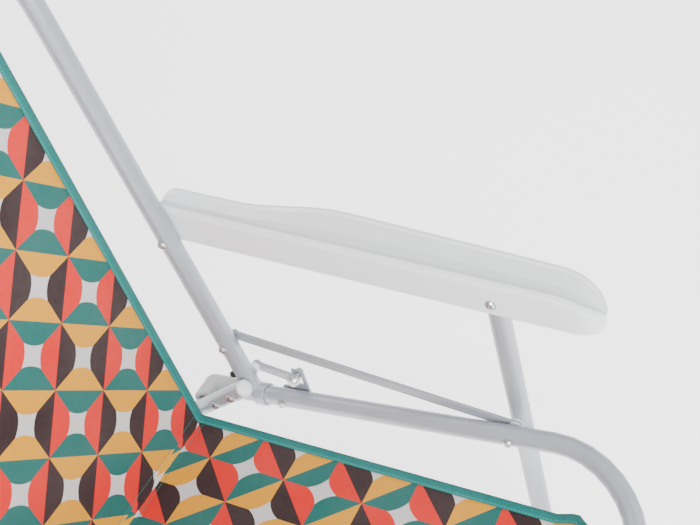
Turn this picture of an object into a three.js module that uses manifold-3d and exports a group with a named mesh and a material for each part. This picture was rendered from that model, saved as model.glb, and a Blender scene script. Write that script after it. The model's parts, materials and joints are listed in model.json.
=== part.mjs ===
// A folding beach chair: three bent tube frames, two free front legs, hollow armrests and a fabric sling.
// Millimetres, +Z up, the sitter faces -Y and the sitter's left is +X. Side-plane places are written as
// (forward, up) from the crease where the seat and the back of the sling meet.
import * as THREE from "three";
import { mergeVertices } from "three/addons/utils/BufferGeometryUtils.js";
import Module from "manifold-3d";

const wasm = await Module();
wasm.setup();

// ---- driving dimensions ----
const CREASE_HEIGHT = 190;
const CREASE_SETBACK = 102.5;
const TUBE_R = 9.5;
const REAR_TUBE_R = 8.5;
const CROSSBAR_R = 6.5;
const WALL = 1.4;
const GAP = 0.3;
const SIDES = 16;
const BORE_SIDES = 8;
const BOLT_R = 2.4;
const BOLT_HOLE_R = 2.9;

const SEAT_SLOPE = 16.65;
const SEAT_FABRIC_SLOPE = 9.5;
const BACK_SLOPE = 113.7;
const BACK_FABRIC_SLOPE = 110.3;
const REAR_LEG_SLOPE = 47.5;

// pivots in the side plane
const ARMREST_REAR = [-32.5, 203.1];
const BRACE_REAR = [18.9, 85.7];
const SEAT_PIVOT = [301, 83.5];
const ARMREST_FRONT = [262.7, 224.2];
const BACK_FOOT = [37.7, 43.6];
const CATCH_PIN = [80.5, 44.5];
const CROSSBAR = [-12, -10.5];

// distances from the middle of the chair out to each layer of the side
const FABRIC_HALF = 193;
const REAR_LEG_X = 205.2;
const BACK_X = 223.6;
const SEAT_X = 237.6;
const LINK_X = 241.6;
const BRACE_REAR_X = 236;
const BRACE_FRONT_X = 250;
const CATCH_PLATE_X = 248.5;
const FRONT_LEG_X = 262.9;

// ---- places ----
const radians = THREE.MathUtils.degToRad;

function at(side, [forward, up]) {
  return new THREE.Vector3(side, CREASE_SETBACK - forward, up + CREASE_HEIGHT);
}

// A side-plane point that lies a distance along a slope from another, then a height square to it.
function along([forward, up], slope, distance, height = 0) {
  const c = Math.cos(radians(slope));
  const s = Math.sin(radians(slope));
  return [forward + distance * c - height * s, up + distance * s + height * c];
}

// ---- solids ----
function toSolid(geometry) {
  const bare = geometry.index ? geometry.toNonIndexed() : geometry.clone();
  bare.deleteAttribute("normal");
  bare.deleteAttribute("uv");
  const merged = mergeVertices(bare, 1e-4);
  const mesh = new wasm.Mesh({
    numProp: 3,
    vertProperties: new Float32Array(merged.attributes.position.array),
    triVerts: new Uint32Array(merged.index.array),
  });
  return new wasm.Manifold(mesh);
}

function toGeometry(solid) {
  const mesh = solid.getMesh();
  const geometry = new THREE.BufferGeometry();
  geometry.setAttribute("position", new THREE.BufferAttribute(new Float32Array(mesh.vertProperties), 3));
  geometry.setIndex(new THREE.BufferAttribute(new Uint32Array(mesh.triVerts), 1));
  geometry.computeVertexNormals();
  return geometry;
}

function cut(geometry, ...tools) {
  return toGeometry(tools.reduce((body, tool) => body.subtract(toSolid(tool)), toSolid(geometry)));
}

function join(...pieces) {
  return toGeometry(pieces.map(toSolid).reduce((body, piece) => body.add(piece)));
}

// A cylinder across the chair from one side distance to another.
function across(from, to, place, radius, sides = SIDES) {
  const rod = new THREE.CylinderGeometry(radius, radius, Math.abs(to - from), sides);
  rod.rotateZ(Math.PI / 2);
  const centre = at((from + to) / 2, place);
  return rod.translate(centre.x, centre.y, centre.z);
}

// A cylinder in a side plane from one place to another.
function rodBetween(side, start, end, radius, sides = SIDES) {
  const a = at(side, start);
  const b = at(side, end);
  const rod = new THREE.CylinderGeometry(radius, radius, a.distanceTo(b), sides);
  rod.applyQuaternion(
    new THREE.Quaternion().setFromUnitVectors(new THREE.Vector3(0, 1, 0), b.clone().sub(a).normalize()),
  );
  const middle = a.add(b).multiplyScalar(0.5);
  return rod.translate(middle.x, middle.y, middle.z);
}

// A flat plate in a side plane, drawn as a Shape in (forward, up), between two side distances.
function plate(shape, from, to, bevel = 0) {
  const geometry = new THREE.ExtrudeGeometry(shape, {
    depth: to - from - 2 * bevel,
    bevelEnabled: bevel > 0,
    bevelThickness: bevel,
    bevelSize: bevel,
    bevelOffset: -bevel,
    bevelSegments: 2,
    curveSegments: 5,
  });
  const toRow = new THREE.Matrix4().makeBasis(
    new THREE.Vector3(0, -1, 0),
    new THREE.Vector3(0, 0, 1),
    new THREE.Vector3(-1, 0, 0),
  );
  geometry.applyMatrix4(toRow);
  return geometry.translate(to - bevel, CREASE_SETBACK, CREASE_HEIGHT);
}

function polygon(radius, sides) {
  return Array.from({ length: sides }, (_, k) => {
    const angle = (k / sides) * 2 * Math.PI;
    return new THREE.Vector2(radius * Math.cos(angle), radius * Math.sin(angle));
  });
}

function ringShape(radius, hole) {
  const shape = new THREE.Shape(polygon(radius, SIDES));
  shape.holes.push(new THREE.Path(polygon(hole, BORE_SIDES).reverse()));
  return shape;
}

// ---- bent tubes ----
// A curve that visits chosen stations, so that straight runs cost no extra rings.
class StationCurve extends THREE.Curve {
  constructor(stations) {
    super();
    this.stations = stations;
  }
  getPoint(t, target = new THREE.Vector3()) {
    const last = this.stations.length - 1;
    const index = Math.min(Math.floor(t * last + 1e-9), last - 1);
    return target.lerpVectors(
      this.stations[index].point,
      this.stations[index + 1].point,
      t * last - index,
    );
  }
  getTangent(t, target = new THREE.Vector3()) {
    const index = Math.round(t * (this.stations.length - 1));
    return target.copy(this.stations[index].tangent);
  }
  getPointAt(u, target) {
    return this.getPoint(u, target);
  }
  getTangentAt(u, target) {
    return this.getTangent(u, target);
  }
}

// Rounds each corner of a polyline with an arc of its own radius.
function bentPath(corners, radii, steps) {
  const stations = [];
  const first = corners[1].clone().sub(corners[0]).normalize();
  stations.push({ point: corners[0], tangent: first });
  for (let i = 1; i < corners.length - 1; i++) {
    const into = corners[i].clone().sub(corners[i - 1]).normalize();
    const out = corners[i + 1].clone().sub(corners[i]).normalize();
    const turn = into.angleTo(out);
    const setback = radii[i - 1] * Math.tan(turn / 2);
    const side = out.clone().addScaledVector(into, -out.dot(into)).normalize();
    const start = corners[i].clone().addScaledVector(into, -setback);
    const centre = start.clone().addScaledVector(side, radii[i - 1]);
    for (let k = 0; k <= steps[i - 1]; k++) {
      const angle = (turn * k) / steps[i - 1];
      stations.push({
        point: centre
          .clone()
          .addScaledVector(side, -radii[i - 1] * Math.cos(angle))
          .addScaledVector(into, radii[i - 1] * Math.sin(angle)),
        tangent: into.clone().multiplyScalar(Math.cos(angle)).addScaledVector(side, Math.sin(angle)),
      });
    }
  }
  const last = corners.length - 1;
  stations.push({
    point: corners[last],
    tangent: corners[last].clone().sub(corners[last - 1]).normalize(),
  });
  return stations;
}

function tube(stations, radius) {
  return new THREE.ExtrudeGeometry(ringShape(radius, radius - WALL), {
    steps: stations.length - 1,
    extrudePath: new StationCurve(stations),
  });
}

// The mirror half of a path, walked the other way, so that a frame closes over the middle.
function withMirror(half) {
  const flip = new THREE.Vector3(-1, 1, 1);
  const mirrored = half
    .map(({ point, tangent }) => ({
      point: point.clone().multiply(flip),
      tangent: tangent.clone().multiply(flip).negate(),
    }))
    .reverse();
  return [...half, ...mirrored];
}

function boreBothSides(geometry, places, side, reach, radius = BOLT_HOLE_R, sides = 8) {
  const tools = places.flatMap((place) =>
    [-1, 1].map((sign) => across(sign * (side - reach), sign * (side + reach), place, radius, sides)),
  );
  return cut(geometry, ...tools);
}

// ---- the three frames ----
const BACK_BEND_AT = 415;
const BACK_TOP_LENGTH = 190;
const BACK_TOP_SLOPE = BACK_SLOPE + 8;
const BACK_CORNER_R = 80;
const BACK_TAIL = 11;
const backBend = along(BACK_FOOT, BACK_SLOPE, BACK_BEND_AT);
const backTop = along(backBend, BACK_TOP_SLOPE, BACK_TOP_LENGTH);

function backFrame() {
  const foot = along(BACK_FOOT, BACK_SLOPE, -BACK_TAIL);
  const half = bentPath(
    [at(BACK_X, foot), at(BACK_X, backBend), at(BACK_X, backTop), at(0, backTop)],
    [300, BACK_CORNER_R],
    [2, 7],
  );
  half.pop();
  const frame = tube(withMirror(half), TUBE_R);
  return boreBothSides(frame, [BACK_FOOT, BRACE_REAR, ARMREST_REAR], BACK_X, 12);
}

const SEAT_STRAIGHT = 39;
const SEAT_CORNER_R = 92;
const SEAT_FRONT_DROP = 26;
const SEAT_TUBE_BACK = -315.5;
const seatFront = along(SEAT_PIVOT, SEAT_SLOPE, SEAT_STRAIGHT + SEAT_CORNER_R, -SEAT_FRONT_DROP);

// The front corner turns a quarter circle in plan while the tube dips to the front bar.
function seatCorner(angle) {
  const run = SEAT_STRAIGHT + SEAT_CORNER_R * Math.sin(angle);
  const drop = SEAT_FRONT_DROP * Math.sin(angle) ** 2;
  return at(SEAT_X - SEAT_CORNER_R * (1 - Math.cos(angle)), along(SEAT_PIVOT, SEAT_SLOPE, run, -drop));
}

function seatFrame() {
  const steps = 9;
  const slopeTangent = at(0, along([0, 0], SEAT_SLOPE, 1)).sub(at(0, [0, 0]));
  const half = [
    { point: at(SEAT_X, along(SEAT_PIVOT, SEAT_SLOPE, SEAT_TUBE_BACK)), tangent: slopeTangent },
    { point: seatCorner(0), tangent: slopeTangent },
  ];
  for (let k = 1; k < steps; k++) {
    const angle = (k / steps) * (Math.PI / 2);
    const tangent = seatCorner(angle + 0.01).sub(seatCorner(angle - 0.01)).normalize();
    half.push({ point: seatCorner(angle), tangent });
  }
  half.push({ point: seatCorner(Math.PI / 2), tangent: new THREE.Vector3(-1, 0, 0) });
  const frame = tube(withMirror(half), TUBE_R);
  return boreBothSides(frame, [SEAT_PIVOT, BRACKET_BOLT], SEAT_X, 12);
}

const REAR_FOOT_SLEEVE_R = 10.8;
const REAR_CORNER_R = 60;
const REAR_STUB = 82;
const rearDrop = CREASE_HEIGHT + CROSSBAR[1] - REAR_FOOT_SLEEVE_R + 0.3;
const rearFoot = along(CROSSBAR, REAR_LEG_SLOPE, -rearDrop / Math.sin(radians(REAR_LEG_SLOPE)));
const rearTop = along(CROSSBAR, REAR_LEG_SLOPE, REAR_STUB);
const rearLegBolt = along(CROSSBAR, REAR_LEG_SLOPE, 67.5);
const rearStopBolt = along(CROSSBAR, REAR_LEG_SLOPE, 40);

function rearLegFrame() {
  const corners = [at(REAR_LEG_X, rearTop), at(REAR_LEG_X, rearFoot), at(0, rearFoot)];
  const half = bentPath(corners, [REAR_CORNER_R], [6]);
  half.pop();
  const frame = tube(withMirror(half), REAR_TUBE_R);
  const bored = boreBothSides(frame, [rearLegBolt, rearStopBolt], REAR_LEG_X, 11);
  return boreBothSides(bored, [CROSSBAR], REAR_LEG_X, 11, CROSSBAR_R + 0.5, 16);
}

// ---- the free front legs ----
const FRONT_LEG_SLOPE =
  THREE.MathUtils.radToDeg(
    Math.atan2(ARMREST_FRONT[1] - SEAT_PIVOT[1], ARMREST_FRONT[0] - SEAT_PIVOT[0]),
  );
const FRONT_LEG_HEAD = 9;
const FOOT_DEPTH = 8;
const frontLegTop = along(ARMREST_FRONT, FRONT_LEG_SLOPE, FRONT_LEG_HEAD);
const frontLegRun = (SEAT_PIVOT[1] + CREASE_HEIGHT - FOOT_DEPTH) / Math.sin(radians(FRONT_LEG_SLOPE));
const frontLegEnd = along(SEAT_PIVOT, FRONT_LEG_SLOPE, -frontLegRun);

function frontLeg() {
  const top = at(FRONT_LEG_X, frontLegTop);
  const end = at(FRONT_LEG_X, frontLegEnd);
  const tangent = end.clone().sub(top).normalize();
  const leg = tube([{ point: top, tangent }, { point: end, tangent }], TUBE_R);
  const bores = [ARMREST_FRONT, SEAT_PIVOT].map((place) =>
    across(FRONT_LEG_X - 12, FRONT_LEG_X + 12, place, BOLT_HOLE_R, 8),
  );
  return cut(leg, ...bores);
}

// A cup of soft plastic over the leg's end, cut flat where it stands.
function frontFoot() {
  const mouth = along(frontLegEnd, FRONT_LEG_SLOPE, 30);
  const below = along(frontLegEnd, FRONT_LEG_SLOPE, -18);
  const cup = rodBetween(FRONT_LEG_X, below, mouth, TUBE_R + 2.6);
  const socketEnd = along(frontLegEnd, FRONT_LEG_SLOPE, -GAP);
  const socketMouth = along(mouth, FRONT_LEG_SLOPE, 2);
  const socket = rodBetween(FRONT_LEG_X, socketEnd, socketMouth, TUBE_R + GAP);
  const ground = new THREE.BoxGeometry(60, 90, 60);
  ground.translate(FRONT_LEG_X, CREASE_SETBACK - frontLegEnd[0], -30);
  return cut(cup, socket, ground);
}

function rearFootSleeve() {
  const sleeve = across(70, 130, rearFoot, REAR_FOOT_SLEEVE_R, 16);
  const bore = across(60, 140, rearFoot, REAR_TUBE_R + GAP, 12);
  const ground = new THREE.BoxGeometry(80, 60, 20);
  ground.translate(100, CREASE_SETBACK - rearFoot[0], -10);
  return cut(sleeve, bore, ground);
}

// ---- armrest ----
const ARM_SLOPE = THREE.MathUtils.radToDeg(
  Math.atan2(ARMREST_FRONT[1] - ARMREST_REAR[1], ARMREST_FRONT[0] - ARMREST_REAR[0]),
);
const ARM_INNER_REAR = 234.9;
const ARM_SPLAY = 2.75;
const ARM_TOP = 24;
const ARM_BOTTOM = -9.4;
const ARM_WALL = 3;
const ARM_CEILING = 7.6;
const ARM_REAR = -19;
const ARM_REAR_CORNER = 10;
const ARM_NOSE = 387.5;
const NOSE_MIDDLE = 268;
const NOSE_DROP = 24;

function armInner(t) {
  return ARM_INNER_REAR + t * Math.tan(radians(ARM_SPLAY));
}

// 1 before a start, falling along a quarter ellipse to 0 a length later.
function quarterEllipse(t, start, length) {
  const share = Math.min(Math.max((t - start) / length, 0), 1);
  return Math.sqrt(1 - share * share);
}

// How far the rear corners are pulled in, at t along the armrest from its rear pivot.
function rearInset(t) {
  const left = Math.max(ARM_REAR_CORNER - (t - ARM_REAR), 0);
  return ARM_REAR_CORNER - Math.sqrt(ARM_REAR_CORNER ** 2 - left ** 2);
}

function armInnerEdge(t) {
  const straight = armInner(Math.min(t, 362));
  return NOSE_MIDDLE - (NOSE_MIDDLE - straight) * quarterEllipse(t, 362, 26) + rearInset(t);
}

// The outer edge is narrow at the rear, bulges out, and closes round the nose.
function armOuterEdge(t) {
  const share = THREE.MathUtils.smoothstep(t, 44, 150);
  const rear = 268.5 - Math.max(44 - t, 0) / 21;
  const along = rear + 22 * share + (2 * Math.max(Math.min(t, 346) - 150, 0)) / 196;
  return NOSE_MIDDLE + (along - NOSE_MIDDLE) * quarterEllipse(t, 346, 42) - rearInset(t);
}

function armTop(t) {
  return ARM_TOP - NOSE_DROP * (1 - quarterEllipse(t, 340, 50)) - 0.4 * rearInset(t);
}

// Across the armrest: skirt, rolled bead, groove, dished top, thin outer rim, outer wall.
function armSection(t) {
  const inner = armInnerEdge(t);
  const outer = armOuterEdge(t);
  const top = armTop(t);
  const q = Math.min(1, (outer - inner) / 28);
  return [
    [inner, ARM_BOTTOM], [inner, top - 5 * q], [inner + 1.4 * q, top - 1.6 * q],
    [inner + 4.5 * q, top], [inner + 7.5 * q, top - q], [inner + 9.5 * q, top - 3.2 * q],
    [(inner + outer) / 2, top - 4.6 * q], [outer - 6 * q, top - 2.4 * q],
    [outer - 3.6 * q, top], [outer - 1.4 * q, top - 0.2 * q], [outer, top - 2.6 * q],
    [outer, ARM_BOTTOM],
  ];
}

function hollowSection(t) {
  const inner = armInnerEdge(t) + ARM_WALL;
  const outer = armOuterEdge(t) - ARM_WALL;
  const ceiling = armTop(t) - ARM_CEILING;
  return [
    [inner, ARM_BOTTOM - 6], [inner, ceiling - 1], [inner + 2.5, ceiling],
    [outer - 2.5, ceiling], [outer, ceiling - 1], [outer, ARM_BOTTOM - 6],
  ];
}

// A solid through cross-sections, each drawn as (side, height) at its own t.
function loft(section, stations) {
  const rings = stations.map((t) => section(t).map(([side, height]) => [t, side, height]));
  const count = rings[0].length;
  const indices = [];
  for (let k = 0; k < rings.length - 1; k++) {
    for (let i = 0; i < count; i++) {
      const next = (i + 1) % count;
      const [a, b] = [k * count + i, k * count + next];
      indices.push(a, a + count, b + count, a, b + count, b);
    }
  }
  const cap = (k, facing) => {
    const contour = rings[k].map(([, side, height]) => new THREE.Vector2(side, height));
    THREE.ShapeUtils.triangulateShape(contour, []).forEach(([a, b, c]) => {
      const turn = Math.sign(contour[b].clone().sub(contour[a]).cross(contour[c].clone().sub(contour[a])));
      const corners = turn === facing ? [a, b, c] : [a, c, b];
      indices.push(...corners.map((i) => k * count + i));
    });
  };
  cap(0, -1);
  cap(rings.length - 1, 1);
  const geometry = new THREE.BufferGeometry();
  geometry.setAttribute("position", new THREE.Float32BufferAttribute(rings.flat(2), 3));
  geometry.setIndex(indices);
  return geometry;
}

// Carries a solid drawn with t along X, side along Y and height along Z to its place on the chair.
function placeOnArm(geometry) {
  const c = Math.cos(radians(ARM_SLOPE));
  const s = Math.sin(radians(ARM_SLOPE));
  const toRow = new THREE.Matrix4().makeBasis(
    new THREE.Vector3(0, -c, s),
    new THREE.Vector3(1, 0, 0),
    new THREE.Vector3(0, s, c),
  );
  geometry.applyMatrix4(toRow);
  const origin = at(0, ARMREST_REAR);
  return geometry.translate(origin.x, origin.y, origin.z);
}

const ARM_STATIONS = [
  ARM_REAR, -18, -15.5, -12, -9, 20, 44, 60, 74, 88, 102, 118, 134, 150, 230, 340, 346, 354,
  362, 368, 374, 379, 383, 386, ARM_NOSE,
];
const HOLLOW_STATIONS = [-14, -9, 44, 60, 74, 88, 102, 118, 134, 150, 340, 354, 366, 374, 380];

function armrest() {
  const shell = loft(armSection, ARM_STATIONS);
  const hollow = loft(hollowSection, HOLLOW_STATIONS);
  const body = placeOnArm(cut(shell, hollow));
  const rearBore = across(220, 250, ARMREST_REAR, BOLT_HOLE_R, 8);
  const frontBore = across(240, 257, ARMREST_FRONT, BOLT_HOLE_R, 8);
  const recess = across(240, 250.6, ARMREST_FRONT, 5.4, 16);
  return cut(body, rearBore, frontBore, recess);
}

// ---- braces, lock links and their brackets ----
function barShape(start, end, halfWidth, holeR) {
  const angle = Math.atan2(end[1] - start[1], end[0] - start[0]);
  const shape = new THREE.Shape();
  shape.absarc(start[0], start[1], halfWidth, angle + Math.PI / 2, angle + 1.5 * Math.PI, false);
  shape.absarc(end[0], end[1], halfWidth, angle - Math.PI / 2, angle + Math.PI / 2, false);
  shape.closePath();
  [start, end].forEach(([forward, up]) => {
    shape.holes.push(new THREE.Path().absarc(forward, up, holeR, 0, 2 * Math.PI, true));
  });
  return shape;
}

const BRACE_HALF_WIDTH = 5;
const BRACE_THICK = 2.4;

// The brace is a flat bar, sprung outward from the back tube to the seat pivot.
function brace() {
  const bar = plate(
    barShape(BRACE_REAR, SEAT_PIVOT, BRACE_HALF_WIDTH, BOLT_HOLE_R),
    BRACE_REAR_X - BRACE_THICK / 2,
    BRACE_REAR_X + BRACE_THICK / 2,
  );
  const rearY = at(0, BRACE_REAR).y;
  const frontY = at(0, SEAT_PIVOT).y;
  const shear = (BRACE_FRONT_X - BRACE_REAR_X) / (frontY - rearY);
  const leaned = new THREE.Matrix4().set(1, shear, 0, -shear * rearY, 0, 1, 0, 0, 0, 0, 1, 0, 0, 0, 0, 1);
  return bar.applyMatrix4(leaned);
}

function lockLink() {
  return plate(barShape(BACK_FOOT, CATCH_PIN, 5, BOLT_HOLE_R), LINK_X - 1.3, LINK_X + 1.3);
}

const BRACKET_BOLT = along(SEAT_PIVOT, SEAT_SLOPE, -239.4);

// A small plate on the outer face of the seat tube whose two prongs carry the catch pin.
function catchBracket() {
  const corner = (s, n) => new THREE.Vector2(...along(SEAT_PIVOT, SEAT_SLOPE, s, n));
  const outline = [
    [-247, -6], [-216, -6], [-216, 25], [-219.8, 25], [-219.8, 11], [-225.2, 11], [-225.2, 25],
    [-229, 25], [-229, 9], [-247, 5],
  ];
  const shape = new THREE.Shape(outline.map(([s, n]) => corner(s, n)));
  const body = plate(shape, CATCH_PLATE_X - 1, CATCH_PLATE_X + 1);
  const bridge = plate(
    new THREE.Shape([[-229, 21], [-216, 21], [-216, 31], [-229, 31]].map(([s, n]) => corner(s, n))),
    CATCH_PLATE_X - 1,
    CATCH_PLATE_X + 1,
  );
  const bores = [BRACKET_BOLT, CATCH_PIN].map((place) => across(240, 256, place, BOLT_HOLE_R, 8));
  return cut(join(body, bridge), ...bores);
}

// ---- rear elbow, saddle, crossbar and plugs ----
const ELBOW_R = 12;

function rearElbow() {
  const sleeve = rodBetween(SEAT_X, along(SEAT_PIVOT, SEAT_SLOPE, -296), CROSSBAR, ELBOW_R, 20);
  const turn = across(SEAT_X, 216.5, CROSSBAR, ELBOW_R, 20);
  const centre = at(SEAT_X, CROSSBAR);
  const knuckle = new THREE.SphereGeometry(ELBOW_R * 1.01, 20, 10).translate(centre.x, centre.y, centre.z);
  const seatSocket = rodBetween(
    SEAT_X,
    along(SEAT_PIVOT, SEAT_SLOPE, -290),
    along(SEAT_PIVOT, SEAT_SLOPE, SEAT_TUBE_BACK - GAP),
    TUBE_R + GAP,
  );
  const barSocket = across(210, 232, CROSSBAR, CROSSBAR_R + GAP, 20);
  return cut(join(sleeve, turn, knuckle), seatSocket, barSocket);
}

function rearCrossbar() {
  return cut(across(-231.5, 231.5, CROSSBAR, CROSSBAR_R), across(-240, 240, CROSSBAR, CROSSBAR_R - WALL));
}

// A plastic ring round the seat tube, under the end of the back tube.
function seatSaddle() {
  const from = along(SEAT_PIVOT, SEAT_SLOPE, -271);
  const to = along(SEAT_PIVOT, SEAT_SLOPE, -260);
  const bore = [along(SEAT_PIVOT, SEAT_SLOPE, -280), along(SEAT_PIVOT, SEAT_SLOPE, -250)];
  return cut(rodBetween(SEAT_X, from, to, TUBE_R + 2.2, 20), rodBetween(SEAT_X, ...bore, TUBE_R + GAP, 16));
}

// A turned solid whose axis points from one place up a slope.
function turned(side, place, slope, profile, sides = 20) {
  const points = profile.map(([radius, height]) => new THREE.Vector2(radius, height));
  const geometry = new THREE.LatheGeometry(points, sides);
  const direction = at(0, along([0, 0], slope, 1)).sub(at(0, [0, 0]));
  const turn = new THREE.Quaternion().setFromUnitVectors(new THREE.Vector3(0, 1, 0), direction);
  geometry.applyQuaternion(turn);
  const origin = at(side, place);
  return geometry.translate(origin.x, origin.y, origin.z);
}

function domeProfile(radius, height, base, steps = 5) {
  return Array.from({ length: steps + 1 }, (_, k) => {
    const angle = (k / steps) * (Math.PI / 2);
    return [radius * Math.cos(angle), base + height * Math.sin(angle)];
  });
}

const PLUG_R = 8.7;

function rearLegPlug() {
  const stem = (REAR_TUBE_R - WALL) * Math.cos(Math.PI / BORE_SIDES) - GAP;
  const profile = [[0, -10], [stem, -10], [stem, GAP], [PLUG_R, GAP]];
  profile.push(...domeProfile(PLUG_R, 4.6, 2.2, 4));
  profile[profile.length - 1][0] = 0;
  return turned(REAR_LEG_X, rearTop, REAR_LEG_SLOPE, profile, 20);
}

// ---- fasteners ----
// A turned solid about the axis across the chair; profile heights are side distances.
function turnedAcross(place, profile, sides = 12) {
  const points = profile.map(([radius, side]) => new THREE.Vector2(radius, side));
  const geometry = new THREE.LatheGeometry(points, sides);
  geometry.rotateZ(-Math.PI / 2);
  const origin = at(0, place);
  return geometry.translate(0, origin.y, origin.z);
}

// A pan-head screw whose head faces the middle of the chair, with a cross recess and, if asked, a nut.
function screw(place, headSide, endSide, { headR = 4.6, nut = false } = {}) {
  const profile = [[0, headSide - 2.8], [headR * 0.62, headSide - 2.6], [headR, headSide - 1.1]];
  profile.push([headR, headSide], [BOLT_R, headSide]);
  if (nut) profile.push([BOLT_R, endSide - 3.4], [4.4, endSide - 3.4], [4.4, endSide]);
  else profile.push([BOLT_R, endSide]);
  profile.push([0, endSide]);
  const origin = at(headSide - 2.8, place);
  const slots = [
    [0.9, 4.6],
    [4.6, 0.9],
  ].map(([y, z]) => new THREE.BoxGeometry(2.4, y, z).translate(origin.x, origin.y, origin.z));
  return cut(turnedAcross(place, profile), ...slots);
}

function washer(place, from, to, radius) {
  return cut(across(from, to, place, radius, 14), across(from - 5, to + 5, place, BOLT_HOLE_R, 8));
}

// The catch pin has a broad round head that keeps the link on it.
function catchPin() {
  const profile = [[0, 233.8], [4.6, 234.2], [6.5, 236.2], [6.5, 239.4], [BOLT_R, 239.4]];
  profile.push([BOLT_R, 250.2], [4.2, 250.2], [4.2, 252.8], [0, 252.8]);
  return turnedAcross(CATCH_PIN, profile, 16);
}

// A short pin that fills the link's rear eye and holds its spacer.
function linkRivet() {
  const profile = [[0, 233.9], [BOLT_R, 233.9], [BOLT_R, 243.4]];
  profile.push([4.6, 243.4], [4.6, 244.6], [3.6, 245.8], [0, 245.8]);
  return turnedAcross(BACK_FOOT, profile);
}

function braceRivet() {
  const inner = BRACE_REAR_X - 1.6;
  const profile = [[0, inner], [BOLT_R, inner], [BOLT_R, inner + 3.6]];
  profile.push([4.6, inner + 3.6], [3.8, inner + 5.4], [0, inner + 5.8]);
  return turnedAcross(BRACE_REAR, profile);
}

// A black rubber stud behind the back tube, just above its end.
function bumper() {
  const place = along(along(BACK_FOOT, BACK_SLOPE, 8), BACK_SLOPE + 90, TUBE_R + 0.3);
  return turned(BACK_X - 4, place, BACK_SLOPE + 90, [[0, 0], [3.4, 0], [3.4, 2.4], [2.6, 4], [0, 4.6]], 14);
}

// ---- sling ----
const FABRIC_THICK = 1.6;
const SEAT_LIFT_AT = 366;

function sideProfile(points) {
  return new THREE.Shape(points.map(([forward, up]) => new THREE.Vector2(forward, up)));
}

// Points of an arc round a bar, from one angle to another.
function wrap([forward, up], radius, from, to, steps) {
  return Array.from({ length: steps + 1 }, (_, k) =>
    along([forward, up], from + ((to - from) * k) / steps, radius),
  );
}

// The back panel runs up in front of the top bar and turns over it.
function slingBack() {
  const inner = TUBE_R + 0.5;
  const outer = inner + FABRIC_THICK;
  const turnIn = 20;
  const turnOut = 175;
  const points = [
    along([0, 0], BACK_FABRIC_SLOPE, 6),
    ...wrap(backTop, outer, turnIn, turnOut, 8),
    ...wrap(backTop, inner, turnOut, turnIn, 8),
    along(along([0, 0], BACK_FABRIC_SLOPE, 6), BACK_FABRIC_SLOPE + 90, FABRIC_THICK),
  ];
  const panel = plate(sideProfile(points), -FABRIC_HALF, FABRIC_HALF);
  const cornerTop = CREASE_HEIGHT + backTop[1];
  const corners = [-1, 1].map((sign) =>
    new THREE.BoxGeometry(80, 120, 110)
      .rotateY(sign * radians(38))
      .translate(sign * (FABRIC_HALF + 14), CREASE_SETBACK - backTop[0], cornerTop + 8),
  );
  return cut(panel, ...corners);
}

// The seat panel hangs straight from the crease, lifts over the front bar and sleeves the rear crossbar.
function slingSeat() {
  const inner = TUBE_R + 0.5;
  const outer = inner + FABRIC_THICK;
  const start = along([0, 0], SEAT_FABRIC_SLOPE, 3);
  const lift = along([0, 0], SEAT_FABRIC_SLOPE, SEAT_LIFT_AT);
  const points = [
    start,
    along(start, SEAT_FABRIC_SLOPE - 90, FABRIC_THICK),
    along(lift, SEAT_FABRIC_SLOPE - 90, FABRIC_THICK),
    ...wrap(seatFront, inner, 118, -20, 8),
    ...wrap(seatFront, outer, -20, 118, 8),
    lift,
  ];
  const panel = plate(sideProfile(points), -FABRIC_HALF, FABRIC_HALF);
  const corners = [-1, 1].map((sign) =>
    new THREE.BoxGeometry(120, 84, 90)
      .rotateZ(sign * radians(-38))
      .translate(sign * (FABRIC_HALF + 10), at(0, seatFront).y - 24, at(0, seatFront).z),
  );
  const sleeve = new THREE.Shape();
  sleeve.absarc(...CROSSBAR, CROSSBAR_R + 2.2, 0, 2 * Math.PI, false);
  sleeve.holes.push(new THREE.Path().absarc(...CROSSBAR, CROSSBAR_R + 0.6, 0, 2 * Math.PI, true));
  const web = sideProfile([
    start,
    along(CROSSBAR, 60, CROSSBAR_R + 1.2),
    along(CROSSBAR, 20, CROSSBAR_R + 1.2),
    along(start, SEAT_FABRIC_SLOPE, 14),
  ]);
  const tunnel = [sleeve, web].map((shape) => plate(shape, 12 - FABRIC_HALF, FABRIC_HALF - 12));
  return join(cut(panel, ...corners), ...tunnel);
}

// ---- materials ----
function material(color, roughness, metalness) {
  return new THREE.MeshStandardMaterial({ color, roughness, metalness });
}

const paint = material(0xb2b7c0, 0.38, 0.55);
const darkTube = material(0x6c7072, 0.45, 0.6);
const white = material(0xe6e9ec, 0.42, 0);
const zinc = material(0xc4c7c8, 0.28, 0.95);
const black = material(0x17181a, 0.6, 0);
const rubber = material(0x9a9da0, 0.6, 0);
const fabric = material(0x147d78, 0.85, 0);

// ---- assembly ----
const chair = new THREE.Group();
chair.name = "beach_chair";

function add(parent, name, geometry, look) {
  const mesh = new THREE.Mesh(geometry, look);
  mesh.name = name;
  parent.add(mesh);
}

add(chair, "back_frame_tube", backFrame(), paint);
add(chair, "seat_frame_tube", seatFrame(), paint);
add(chair, "rear_leg_frame", rearLegFrame(), paint);
add(chair, "rear_crossbar", rearCrossbar(), darkTube);
add(chair, "sling_back", slingBack(), fabric);
add(chair, "sling_seat", slingSeat(), fabric);

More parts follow.
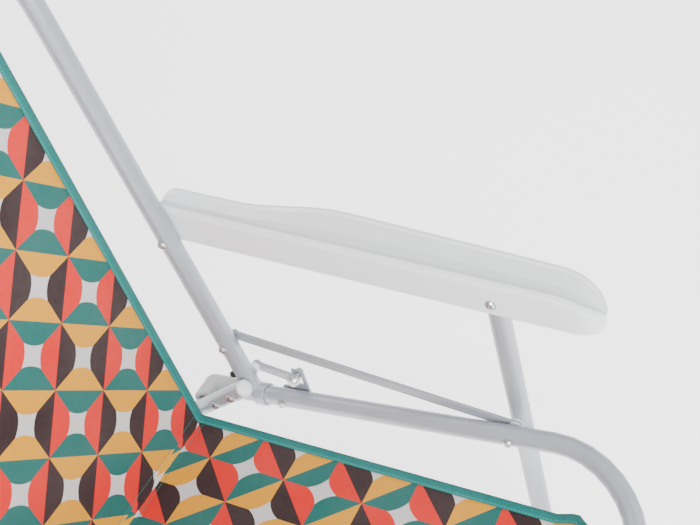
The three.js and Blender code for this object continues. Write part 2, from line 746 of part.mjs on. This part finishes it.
const sideParts = [
  ["front_leg_tube", frontLeg(), paint],
  ["front_foot", frontFoot(), rubber],
  ["rear_foot_sleeve", rearFootSleeve(), rubber],
  ["armrest", armrest(), white],
  ["brace_bar", brace(), paint],
  ["lock_link", lockLink(), paint],
  ["catch_bracket", catchBracket(), paint],
  ["catch_pin", catchPin(), zinc],
  ["rear_elbow", rearElbow(), white],
  ["seat_saddle", seatSaddle(), paint],
  ["rear_leg_plug", rearLegPlug(), white],
  ["rear_bumper", bumper(), black],
  ["link_spacer", washer(BACK_FOOT, 234.1, 239.9, 5.4), white],
  ["link_rivet", linkRivet(), zinc],
  ["armrest_rear_washer", washer(ARMREST_REAR, 233.4, 234.6, 5.2), white],
  ["seat_pivot_inner_washer", washer(SEAT_PIVOT, 247.4, 248.4, 6.2), white],
  ["seat_pivot_outer_washer", washer(SEAT_PIVOT, 251.9, 253, 6.2), white],
  ["brace_rear_rivet", braceRivet(), zinc],
  ["armrest_rear_screw", screw(ARMREST_REAR, BACK_X - TUBE_R - 0.3, 242.5, { nut: true }), zinc],
  ["armrest_front_screw", screw(ARMREST_FRONT, 250.4, 253, { headR: 4.4 }), zinc],
  ["brace_rear_screw", screw(BRACE_REAR, BACK_X - TUBE_R - 0.3, 233.6), zinc],
  ["back_foot_screw", screw(BACK_FOOT, BACK_X - TUBE_R + 3, 232.8, { headR: 2.7 }), zinc],
  ["rear_leg_screw", screw(rearLegBolt, REAR_LEG_X - REAR_TUBE_R - 0.3, 213.4), zinc],
  ["rear_stop_screw", screw(rearStopBolt, REAR_LEG_X - REAR_TUBE_R - 0.3, 213.4), zinc],
  ["bracket_screw", screw(BRACKET_BOLT, SEAT_X - TUBE_R - 0.3, 253.4, { nut: true }), zinc],
  ["seat_pivot_screw", screw(SEAT_PIVOT, SEAT_X - TUBE_R - 0.3, 277, { nut: true }), zinc],
];

[
  ["left", 1],
  ["right", -1],
].forEach(([side, sign]) => {
  const group = new THREE.Group();
  group.scale.x = sign;
  chair.add(group);
  sideParts.forEach(([name, geometry, look]) => add(group, `${name}_${side}`, geometry, look));
});

export default chair;
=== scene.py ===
# A folding beach chair: the fixed frame gets its finishes, and the sling is made as one printed cloth.
# Metres, +Z up, the sitter faces -Y. Side-plane places are (forward, up) from the crease, in metres.
import json
import math

import bpy
from mathutils import Matrix, Vector


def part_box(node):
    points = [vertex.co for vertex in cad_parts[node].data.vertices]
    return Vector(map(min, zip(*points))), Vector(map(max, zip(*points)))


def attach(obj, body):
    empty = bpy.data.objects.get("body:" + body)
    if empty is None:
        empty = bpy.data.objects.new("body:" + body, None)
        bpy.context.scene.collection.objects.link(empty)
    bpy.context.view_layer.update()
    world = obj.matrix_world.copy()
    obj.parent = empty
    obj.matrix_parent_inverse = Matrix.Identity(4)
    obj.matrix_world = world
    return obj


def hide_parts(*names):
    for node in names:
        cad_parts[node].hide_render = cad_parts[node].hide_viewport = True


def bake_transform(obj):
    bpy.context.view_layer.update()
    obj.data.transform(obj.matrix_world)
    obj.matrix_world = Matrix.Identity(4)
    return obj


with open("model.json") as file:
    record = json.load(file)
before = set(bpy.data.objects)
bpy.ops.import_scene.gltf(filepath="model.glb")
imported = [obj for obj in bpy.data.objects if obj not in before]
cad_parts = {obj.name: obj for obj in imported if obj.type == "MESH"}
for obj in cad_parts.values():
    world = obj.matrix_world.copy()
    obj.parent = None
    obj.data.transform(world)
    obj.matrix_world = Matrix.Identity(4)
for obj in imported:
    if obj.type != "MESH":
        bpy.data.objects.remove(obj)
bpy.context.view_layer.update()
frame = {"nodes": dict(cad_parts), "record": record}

# ---- driving dimensions ----
CREASE_Y = 0.1025
CREASE_Z = 0.190
SEAT_FABRIC_SLOPE = 9.5  # degrees
BAR_R = 0.0095
CLOTH_OUT = 0.0116  # from a bar's centre to the outer face of the cloth wrapped round it
CLOTH_THICK = 0.0011
CLOTH_HALF = 0.193
SEAT_LIFT_AT = 0.366
STEP = 0.008
COLUMNS = 28
SAG = 0.003

# Half width of the cloth against the distance down from the top bar's centre, or back from the
# front bar's centre. It narrows inside the frame's rounded corners.
TOP_HALF_WIDTHS = [(0.0115, 0.1435), (0.052, CLOTH_HALF)]
FRONT_HALF_WIDTHS = [(-0.010, 0.138), (0.0, 0.1456), (0.046, 0.181), (0.056, CLOTH_HALF)]

# How the cloth goes round each bar: the first and last angle in degrees, and the number of steps.
TOP_WRAP = (175, 20, 16)
FRONT_WRAP = (118, -20, 14)
SLEEVE_WRAP = (110, 390, 24)

BINDING_WIDTH = 0.0105
BINDING_PROUD = 0.0005
BINDING_RIB = 0.0016
BINDING_SEAM_INSET = 0.0018

TUNNEL_HALF = 0.181
TUNNEL_LEAN = 60  # degrees above level, for the way the ridge stands out
TUNNEL_STEPS = 46
# The ridge's section: offset along the cloth, height above it.
TUNNEL_SECTION = [(-0.0052, 0.0006), (-0.0040, 0.0018), (0, 0.0026), (0.0040, 0.0018), (0.0052, 0.0006)]
# Each ripple's height, and its turn per step in radians.
TUNNEL_RIPPLES = [(0.00035, 2.3), (0.0002, 5.1)]
# The place on the print of the ridge's middle, and how fast the ridge crosses the print.
TUNNEL_PRINT_AT = 0.03
TUNNEL_PRINT_RATE = 2.2

SLEEVE_THICK = 0.0007
SLEEVE_CLEARANCE = 0.0015
SLEEVE_STEPS = 40
SLEEVE_PRINT_AT = 0.04
SLEEVE_BELOW_CREASE = 0.001

# Seams, as distances along the cloth from the crease or in from an end.
CREASE_SEAM = 0.0075
TOP_HEM = 0.050
FRONT_HEM = 0.045

# The print: a square grid turned 45 degrees to the cloth, measured from the cloth's left edge.
CELL = 0.0572
PRINT_EDGE_X = 0.1955
SEAT_ORIGIN = (0.0362, -0.0480)
BACK_ORIGIN = (0.1985, -0.1667)
PETAL_HEIGHT = 0.35
PETAL_HALF_LENGTH = 0.42
PETAL_TIP = 0.1  # this close to a grid point the petals always meet
CLOTH_THREAD = 0.0011
STITCH_HALF_WIDTH = 0.0005
STITCH_PITCH = 0.0032
STITCH_SHARE = 0.68

TEAL = (0.008, 0.112, 0.098)
YELLOW = (0.660, 0.290, 0.006)
RED = (0.640, 0.014, 0.008)
DARK_BROWN = (0.026, 0.010, 0.011)
STAR_GREY = (0.560, 0.535, 0.535)
BINDING_TEAL = (0.003, 0.150, 0.138)
BINDING_SHADE = (0.004, 0.135, 0.125)
BINDING_THREAD = (0.012, 0.27, 0.245)
FADED_CLOTH = (0.5, 0.48, 0.46)
PAINT_GREY = (0.360, 0.385, 0.435)
DARK_STEEL = (0.13, 0.14, 0.145)
PLASTIC_WHITE = (0.807, 0.831, 0.855)
# The elbow is white plastic. This grey is painted shade: the white darkened because the elbow sits in
# the frame's shadow.
ELBOW_WHITE_WITH_PAINTED_SHADE = (0.50, 0.52, 0.51)
ZINC = (0.68, 0.69, 0.70)
FOOT_GREY = (0.23, 0.235, 0.24)
RUBBER_BLACK = (0.015, 0.015, 0.017)

FLOOR_HALF = 6.0
FLOOR_TONES = [(0.90, 0.90, 0.90), (0.92, 0.92, 0.92)]
FLOOR_GLOW = 2.0
SKY_LIGHT = 0.85
LIGHT_TARGET = (0.0, 0.0, 0.35)
# Each light's name, place, power in watts and size.
AREA_LIGHTS = [
    ("key_light", (-1.4, -1.1, 1.7), 95, 1.2),
    ("fill_light", (2.0, -1.6, 1.8), 25, 2.0),
    ("rim_light", (0.6, 2.2, 2.2), 25, 1.8),
]

CAMERA_PLACE = (-0.370, -0.325, 1.089)
CAMERA_RIGHT = (0.4256, -0.9049, 0.0)
CAMERA_FORWARD = (0.6426, 0.3023, -0.7040)
CAMERA_LENS = 57.9

# The part of the noise texture's range that is used, and a colour mix node's sockets.
NOISE_LOW = 0.3
NOISE_HIGH = 0.7
MIX_FACTOR, MIX_A, MIX_B, MIX_RESULT = 0, 6, 7, 2


# ---- shader helpers ----
class Nodes:
    """A short way to write a node tree as arithmetic."""

    def __init__(self, name):
        self.material = bpy.data.materials.new(name)
        self.material.use_nodes = True
        self.tree = self.material.node_tree
        self.shader = self.tree.nodes["Principled BSDF"]

    def new(self, kind, **settings):
        node = self.tree.nodes.new(kind)
        for key, value in settings.items():
            setattr(node, key, value)
        return node

    def feed(self, socket, value):
        if isinstance(value, bpy.types.NodeSocket):
            self.tree.links.new(value, socket)
        else:
            socket.default_value = value

    def math(self, operation, a, b=0.0):
        node = self.new("ShaderNodeMath", operation=operation)
        self.feed(node.inputs[0], a)
        self.feed(node.inputs[1], b)
        return node.outputs[0]

    def mix(self, factor, a, b):
        node = self.new("ShaderNodeMix", data_type="RGBA")
        self.feed(node.inputs[MIX_FACTOR], factor)
        for socket, colour in ((MIX_A, a), (MIX_B, b)):
            self.feed(node.inputs[socket], (*colour, 1.0) if isinstance(colour, tuple) else colour)
        return node.outputs[MIX_RESULT]

    def noise(self, scale, detail=2.0):
        node = self.new("ShaderNodeTexNoise")
        coordinate = self.new("ShaderNodeTexCoord")
        self.feed(node.inputs["Vector"], coordinate.outputs["Object"])
        node.inputs["Scale"].default_value = scale
        node.inputs["Detail"].default_value = detail
        return node.outputs[0]

    def spread(self, value, low, high):
        """A noise value stretched to run from low to high."""
        node = self.new("ShaderNodeMapRange")
        self.feed(node.inputs["Value"], value)
        node.inputs["From Min"].default_value = NOISE_LOW
        node.inputs["From Max"].default_value = NOISE_HIGH
        node.inputs["To Min"].default_value = low
        node.inputs["To Max"].default_value = high
        return node.outputs[0]

    def bump(self, height, strength, distance, normal=None):
        node = self.new("ShaderNodeBump")
        self.feed(node.inputs["Height"], height)
        node.inputs["Strength"].default_value = strength
        node.inputs["Distance"].default_value = distance
        if normal is not None:
            self.feed(node.inputs["Normal"], normal)
        return node.outputs[0]

    def rounded(self, radius):
        """The surface normal as if edges were rounded, which hides a tube's flat facets."""
        node = self.new("ShaderNodeBevel", samples=6)
        node.inputs["Radius"].default_value = radius
        return node.outputs[0]

    def cloth_place(self):
        """Place on the cloth in metres: across it, and along it from the crease."""
        split = self.new("ShaderNodeSeparateXYZ")
        self.feed(split.inputs[0], self.new("ShaderNodeUVMap", uv_map="cloth").outputs[0])
        return split.outputs[0], split.outputs[1]


# ---- hard materials ----
def solid_finish(name, colour, rough, grain, metallic=0.0, coat=0.0, round_radius=0.0012, tint=0.93):
    """A hard material with faint mottling and a fine surface grain."""
    n = Nodes(name)
    mottled = n.mix(n.spread(n.noise(38), 0, 1), tuple(tint * c for c in colour), colour)
    n.feed(n.shader.inputs["Base Color"], mottled)
    n.feed(n.shader.inputs["Roughness"], n.spread(n.noise(90), rough - 0.05, rough + 0.06))
    n.shader.inputs["Metallic"].default_value = metallic
    n.shader.inputs["Coat Weight"].default_value = coat
    n.shader.inputs["Coat Roughness"].default_value = 0.18
    fine = n.bump(n.noise(grain, 3), 0.12, 0.0004, n.rounded(round_radius))
    n.feed(n.shader.inputs["Normal"], fine)
    return n.material


def hard_materials():
    return {
        "frame_paint": solid_finish(
            "light_grey_enamel", PAINT_GREY, 0.34, 420, metallic=0.25, coat=0.25, round_radius=0.0026
        ),
        "crossbar_steel": solid_finish("dark_enamel", DARK_STEEL, 0.42, 380, metallic=0.3),
        "white_plastic": solid_finish(
            "white_moulded_plastic", PLASTIC_WHITE, 0.4, 700, coat=0.1, round_radius=0.0008, tint=0.97
        ),
        # The elbow's finish is a darker copy of the white plastic, with painted shade in its colour.
        "elbow_plastic": solid_finish("white_elbow_plastic_with_painted_shade", ELBOW_WHITE_WITH_PAINTED_SHADE, 0.45, 600),
        "zinc_screws": solid_finish("bright_zinc", ZINC, 0.32, 900, metallic=1.0, round_radius=0.0004),
        "grey_foot_plastic": solid_finish("grey_foot_plastic", FOOT_GREY, 0.55, 500),
        "black_rubber": solid_finish("black_rubber", RUBBER_BLACK, 0.6, 600),
    }


# ---- cloth materials ----
def petal_pattern(n, forward, across, odd_first):
    """Colours of the print from the distances along and across the cloth."""
    scale = math.sqrt(2) / CELL
    along = n.math("MULTIPLY", forward, scale)
    aside = n.math("MULTIPLY", across, scale)
    a = n.math("MULTIPLY", n.math("ADD", along, aside), 0.5)
    b = n.math("MULTIPLY", n.math("SUBTRACT", along, aside), 0.5)
    in_a = n.math("FRACT", a)
    in_b = n.math("FRACT", b)
    off_a = n.math("MINIMUM", in_a, n.math("SUBTRACT", 1.0, in_a))
    off_b = n.math("MINIMUM", in_b, n.math("SUBTRACT", 1.0, in_b))
    on_u_edge = n.math("LESS_THAN", off_b, off_a)
    height = n.math("MINIMUM", off_a, off_b)
    reach = n.math("MAXIMUM", off_a, off_b)
    offset = n.math("DIVIDE", n.math("SUBTRACT", 0.5, reach), PETAL_HALF_LENGTH)
    round_part = n.math("MAXIMUM", n.math("SUBTRACT", 1.0, n.math("MULTIPLY", offset, offset)), 0.0)
    outline = n.math("MULTIPLY", n.math("SQRT", round_part), PETAL_HEIGHT)
    in_petal = n.math("LESS_THAN", height, outline)
    at_tip = n.math("LESS_THAN", reach, PETAL_TIP)
    petal = n.math("MAXIMUM", in_petal, at_tip)
    cells = n.math("ADD", n.math("FLOOR", a), n.math("FLOOR", b))
    parity = n.math("FLOORED_MODULO", n.math("ADD", cells, 1.0 if odd_first else 0.0), 2.0)
    u_colour = n.mix(parity, TEAL, YELLOW)
    v_colour = n.mix(parity, RED, DARK_BROWN)
    petal_colour = n.mix(on_u_edge, v_colour, u_colour)
    return n.mix(petal, STAR_GREY, petal_colour)


def weave(n, u, v, thread):
    """Height of a plain weave with a given thread spacing."""
    pitch = 2 * math.pi / thread
    warp = n.math("SINE", n.math("MULTIPLY", u, pitch))
    weft = n.math("SINE", n.math("MULTIPLY", v, pitch))
    return n.math("MULTIPLY", warp, weft)


def stitches(n, along, across, seam_at):
    """1 on the thread of a dashed seam that runs along one way at a given distance the other way."""
    off_seam = n.math("ABSOLUTE", n.math("SUBTRACT", across, seam_at))
    near = n.math("LESS_THAN", off_seam, STITCH_HALF_WIDTH)
    dash = n.math("LESS_THAN", n.math("FRACT", n.math("DIVIDE", along, STITCH_PITCH)), STITCH_SHARE)
    return n.math("MULTIPLY", near, dash)


def cloth_shader(n, colour, height, thread_height):
    """Finish a cloth material: slightly uneven colour, matt, with its threads as fine relief."""
    faded = n.mix(n.spread(n.noise(14), 0, 0.04), colour, FADED_CLOTH)
    n.feed(n.shader.inputs["Base Color"], faded)
    n.feed(n.shader.inputs["Roughness"], n.spread(n.noise(160), 0.68, 0.84))
    n.shader.inputs["Sheen Weight"].default_value = 0.04
    n.shader.inputs["Specular IOR Level"].default_value = 0.3
    n.feed(n.shader.inputs["Normal"], n.bump(height, 0.35, thread_height))
    return n.material


def print_material(seams):
    n = Nodes("petal_print_cloth")
    u, v = n.cloth_place()
    across = n.math("SUBTRACT", u, PRINT_EDGE_X)
    seat = petal_pattern(
        n,
        n.math("SUBTRACT", v, SEAT_ORIGIN[0]),
        n.math("SUBTRACT", across, SEAT_ORIGIN[1]),
        False,
    )
    back = petal_pattern(
        n,
        n.math("ADD", v, BACK_ORIGIN[0]),
        n.math("SUBTRACT", across, BACK_ORIGIN[1]),
        True,
    )
    colour = n.mix(n.math("GREATER_THAN", v, 0.0), back, seat)
    height = weave(n, u, v, CLOTH_THREAD)
    for seam in seams:
        thread = stitches(n, u, v, seam)
        colour = n.mix(thread, colour, BINDING_TEAL)
        height = n.math("ADD", height, n.math("MULTIPLY", thread, 2.0))
    return cloth_shader(n, colour, height, 0.00025)


def binding_material():
    n = Nodes("ribbed_teal_binding")
    u, v = n.cloth_place()
    rib = n.math("SINE", n.math("MULTIPLY", v, 2 * math.pi / BINDING_RIB))
    seam = stitches(n, v, u, BINDING_WIDTH - BINDING_SEAM_INSET)
    shade = n.mix(n.spread(n.noise(260), 0, 0.35), BINDING_TEAL, BINDING_SHADE)
    colour = n.mix(seam, shade, BINDING_THREAD)
    height = n.math("ADD", rib, n.math("MULTIPLY", seam, 2.5))
    return cloth_shader(n, colour, height, 0.0003)


# ---- the sling's side profile ----
def bar_centre(node, high):
    """Centre in (y, z) of a tube's top bar, or of its front bar, just under the CAD seat cloth."""
    low_corner, high_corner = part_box(node)
    if high:
        return high_corner.y - BAR_R, high_corner.z - BAR_R
    return low_corner.y + BAR_R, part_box("sling_seat")[1].z - CLOTH_OUT


TOP_BAR = bar_centre("back_frame_tube", True)
FRONT_BAR = bar_centre("seat_frame_tube", False)


def wrapped(bar, radius, start, end, steps):
    """Points round a bar, in (y, z), from one angle to another in the (forward, up) plane."""
    points = []
    for k in range(steps + 1):
        angle = math.radians(start + (end - start) * k / steps)
        points.append((bar[0] - radius * math.cos(angle), bar[1] + radius * math.sin(angle)))
    return points


def filled(points, step):
    """The same polyline with points no more than a step apart."""
    result = [points[0]]
    for (y0, z0), (y1, z1) in zip(points, points[1:]):
        count = max(1, math.ceil(math.dist((y0, z0), (y1, z1)) / step))
        for k in range(1, count + 1):
            result.append((y0 + (y1 - y0) * k / count, z0 + (z1 - z0) * k / count))
    return result


def running_lengths(points):
    lengths = [0.0]
    for start, end in zip(points, points[1:]):
        lengths.append(lengths[-1] + math.dist(start, end))
    return lengths


def interpolated(value, points):
    """A broken-line function through (value, result) pairs in rising order."""
    if value <= points[0][0]:
        return points[0][1]
    for (x0, r0), (x1, r1) in zip(points, points[1:]):
        if value <= x1:
            return r0 + (r1 - r0) * (value - x0) / (x1 - x0)
    return points[-1][1]


def half_width(y, z, on_back):
    """The cloth narrows where it goes over a bar, inside the frame's rounded corners."""
    if on_back:
        return interpolated(TOP_BAR[1] - z, TOP_HALF_WIDTHS)
    return interpolated(y - FRONT_BAR[0], FRONT_HALF_WIDTHS)


def sling_rows():
    """Rows of the cloth: (y, z, signed distance from the crease, half width, normal, sag share)."""
    slope = math.radians(SEAT_FABRIC_SLOPE)
    crease = (CREASE_Y, CREASE_Z)
    lift = (CREASE_Y - SEAT_LIFT_AT * math.cos(slope), CREASE_Z + SEAT_LIFT_AT * math.sin(slope))
    back = filled([*wrapped(TOP_BAR, CLOTH_OUT, *TOP_WRAP), crease], STEP)
    seat = filled([crease, lift, *wrapped(FRONT_BAR, CLOTH_OUT, *FRONT_WRAP)], STEP)
    points = back + seat[1:]
    lengths = running_lengths(points)
    at_crease = lengths[len(back) - 1]
    rows = []
    for i, (y, z) in enumerate(points):
        before = points[max(i - 1, 0)]
        after = points[min(i + 1, len(points) - 1)]
        run = Vector((0, after[0] - before[0], after[1] - before[1])).normalized()
        normal = Vector((0, run.z, -run.y))
        distance = lengths[i] - at_crease
        on_back = distance < 0
        span = at_crease if on_back else lengths[-1] - at_crease
        sag_share = math.sin(math.pi * min(abs(distance) / span, 1.0)) ** 2
        rows.append((y, z, distance, half_width(y, z, on_back), normal, sag_share))
    return rows


# ---- cloth meshes ----
def mesh_object(name, points, faces, uvs, material):
    mesh = bpy.data.meshes.new(name)
    mesh.from_pydata(points, [], faces)
    layer = mesh.uv_layers.new(name="cloth")
    for loop in mesh.loops:
        layer.data[loop.index].uv = uvs[loop.vertex_index]
    mesh.polygons.foreach_set("use_smooth", [True] * len(mesh.polygons))
    mesh.materials.append(material)
    obj = bpy.data.objects.new(name, mesh)
    bpy.context.scene.collection.objects.link(obj)
    return obj


def strip_faces(rows, columns):
    return [
        (r * columns + c, r * columns + c + 1, (r + 1) * columns + c + 1, (r + 1) * columns + c)
        for r in range(rows - 1)
        for c in range(columns - 1)
    ]


def apply_modifiers(obj):
    graph = bpy.context.evaluated_depsgraph_get()
    made = bpy.data.meshes.new_from_object(obj.evaluated_get(graph))
    obj.modifiers.clear()
    obj.data = made


def thicken(obj, thickness):
    solidify = obj.modifiers.new("thickness", "SOLIDIFY")
    solidify.thickness = thickness
    solidify.offset = 0
    apply_modifiers(obj)


def sling_cloth(rows, material):
    """The cloth itself, in one piece from the top bar to the front bar, with a slight sag."""
    points, uvs = [], []
    for y, z, distance, half, normal, sag_share in rows:
        for c in range(COLUMNS + 1):
            share = 2 * c / COLUMNS - 1
            depth = CLOTH_THICK / 2 + SAG * sag_share * (1 - share * share)
            point = Vector((share * half, y, z)) - normal * depth
            points.append(point)
            uvs.append((share * half, distance))
    obj = mesh_object("sling_cloth", points, strip_faces(len(rows), COLUMNS + 1), uvs, material)
    thicken(obj, CLOTH_THICK)
    return obj


def edge_binding(name, sign, rows, material):
    """A ribbed tape folded over one long edge of the cloth."""
    under = -CLOTH_THICK - BINDING_PROUD
    section = [
        (BINDING_WIDTH, BINDING_PROUD * 0.4),
        (BINDING_WIDTH - 0.001, BINDING_PROUD * 1.3),
        (BINDING_WIDTH / 2, BINDING_PROUD * 2.0),
        (0.001, BINDING_PROUD * 1.4),
        (-0.0003, -CLOTH_THICK / 2),
        (0.001, under - 0.0003),
        (BINDING_WIDTH - 0.001, under),
        (BINDING_WIDTH, -CLOTH_THICK + 0.0001),
    ]
    points, uvs = [], []
    for y, z, distance, half, normal, _ in rows:
        for inset, height in section:
            points.append(Vector((sign * (half - inset), y, z)) + normal * height)
            uvs.append((inset, distance))
    count = len(section)
    faces = strip_faces(len(rows), count)
    if sign > 0:
        faces = [face[::-1] for face in faces]
    return mesh_object(name, points, faces, uvs, material)


def crease_tunnel(material):
    """The narrow sewn ridge where the seat and the back of the sling meet."""
    lean = math.radians(TUNNEL_LEAN)
    centre = Vector((0, CREASE_Y, CREASE_Z))
    aside = Vector((0, -math.sin(lean), -math.cos(lean)))
    out = Vector((0, -math.cos(lean), math.sin(lean)))
    points, uvs = [], []
    for k in range(TUNNEL_STEPS + 1):
        x = TUNNEL_HALF * (2 * k / TUNNEL_STEPS - 1)
        ripple = sum(size * math.sin(k * turn) for size, turn in TUNNEL_RIPPLES)
        for offset, height in TUNNEL_SECTION:
            points.append(centre + Vector((x, 0, 0)) + aside * offset + out * (height + ripple))
            uvs.append((x, TUNNEL_PRINT_AT + TUNNEL_PRINT_RATE * offset))
    faces = [face[::-1] for face in strip_faces(TUNNEL_STEPS + 1, len(TUNNEL_SECTION))]
    return mesh_object("crease_tunnel", points, faces, uvs, material)


def crossbar_sleeve(material):
    """The cloth that goes round the rear crossbar and up to the crease."""
    low_corner, high_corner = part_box("rear_crossbar")
    bar = ((low_corner.y + high_corner.y) / 2, (low_corner.z + high_corner.z) / 2)
    radius = (high_corner.z - low_corner.z) / 2 + SLEEVE_CLEARANCE
    under_crease = (CREASE_Y, CREASE_Z - SLEEVE_BELOW_CREASE)
    loop = [under_crease, *wrapped(bar, radius, *SLEEVE_WRAP), under_crease]
    lengths = running_lengths(loop)
    points, uvs = [], []
    for k in range(SLEEVE_STEPS + 1):
        x = TUNNEL_HALF * (2 * k / SLEEVE_STEPS - 1)
        for (y, z), length in zip(loop, lengths):
            points.append(Vector((x, y, z)))
            uvs.append((x, SLEEVE_PRINT_AT + length))
    obj = mesh_object("crossbar_sleeve", points, strip_faces(SLEEVE_STEPS + 1, len(loop)), uvs, material)
    thicken(obj, SLEEVE_THICK)
    return obj


# ---- stage ----
def add_stage():
    mesh = bpy.data.meshes.new("floor")
    signs = [(-1, -1), (1, -1), (1, 1), (-1, 1)]
    mesh.from_pydata([(FLOOR_HALF * x, FLOOR_HALF * y, 0) for x, y in signs], [], [(0, 1, 2, 3)])
    floor = bpy.data.objects.new("floor", mesh)
    bpy.context.scene.collection.objects.link(floor)
    n = Nodes("pale_floor")
    tone = n.mix(n.spread(n.noise(3), 0, 1), *FLOOR_TONES)
    n.feed(n.shader.inputs["Base Color"], tone)
    n.shader.inputs["Roughness"].default_value = 0.9
    n.shader.inputs["Emission Color"].default_value = (1.0, 1.0, 1.0, 1.0)
    n.shader.inputs["Emission Strength"].default_value = FLOOR_GLOW
    mesh.materials.append(n.material)


def area_light(name, location, power, size):
    data = bpy.data.lights.new(name, "AREA")
    data.energy = power
    data.size = size
    light = bpy.data.objects.new(name, data)
    light.location = location
    light.rotation_euler = (Vector(LIGHT_TARGET) - Vector(location)).to_track_quat("-Z", "Y").to_euler()
    bpy.context.scene.collection.objects.link(light)


def add_light():
    world = bpy.data.worlds.new("studio")
    world.use_nodes = True
    background = world.node_tree.nodes["Background"]
    background.inputs["Color"].default_value = (1.0, 1.0, 1.0, 1.0)
    background.inputs["Strength"].default_value = SKY_LIGHT
    bpy.context.scene.world = world
    for light in AREA_LIGHTS:
        area_light(*light)


def add_camera():
    data = bpy.data.cameras.new("camera")
    data.lens = CAMERA_LENS
    data.sensor_width = 36
    data.clip_start = 0.01
    camera = bpy.data.objects.new("camera", data)
    right = Vector(CAMERA_RIGHT).normalized()
    forward = Vector(CAMERA_FORWARD).normalized()
    up = right.cross(forward).normalized()
    turn = Matrix((right, up, -forward)).transposed().to_4x4()
    camera.matrix_world = Matrix.Translation(CAMERA_PLACE) @ turn
    bpy.context.scene.collection.objects.link(camera)
    bpy.context.scene.camera = camera


# ---- assembly ----
def paint_frame(materials):
    """Give each CAD object its slot's finish, and leave its mesh and place alone."""
    slots = {part["node"]: part["material_slot"] for part in frame["record"]["subparts"]}
    for name, obj in frame["nodes"].items():
        material = materials.get(slots.get(name))
        if material is None:
            continue
        obj.data.materials.clear()
        obj.data.materials.append(material)


def make_sling():
    rows = sling_rows()
    top_hem = rows[0][2] + TOP_HEM
    front_hem = rows[-1][2] - FRONT_HEM
    printed = print_material([-CREASE_SEAM, CREASE_SEAM, top_hem, front_hem])
    tape = binding_material()
    cloth = sling_cloth(rows, printed)
    bindings = [
        edge_binding("binding_left", 1, rows, tape),
        edge_binding("binding_right", -1, rows, tape),
    ]
    tunnel = crease_tunnel(printed)
    sleeve = crossbar_sleeve(printed)
    for piece in [cloth, *bindings]:
        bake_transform(piece)
    for piece in [tunnel, sleeve]:
        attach(piece, "seat")
    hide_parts("sling_back", "sling_seat")


add_camera()
add_stage()
add_light()
paint_frame(hard_materials())
make_sling()

bpy.context.view_layer.update()
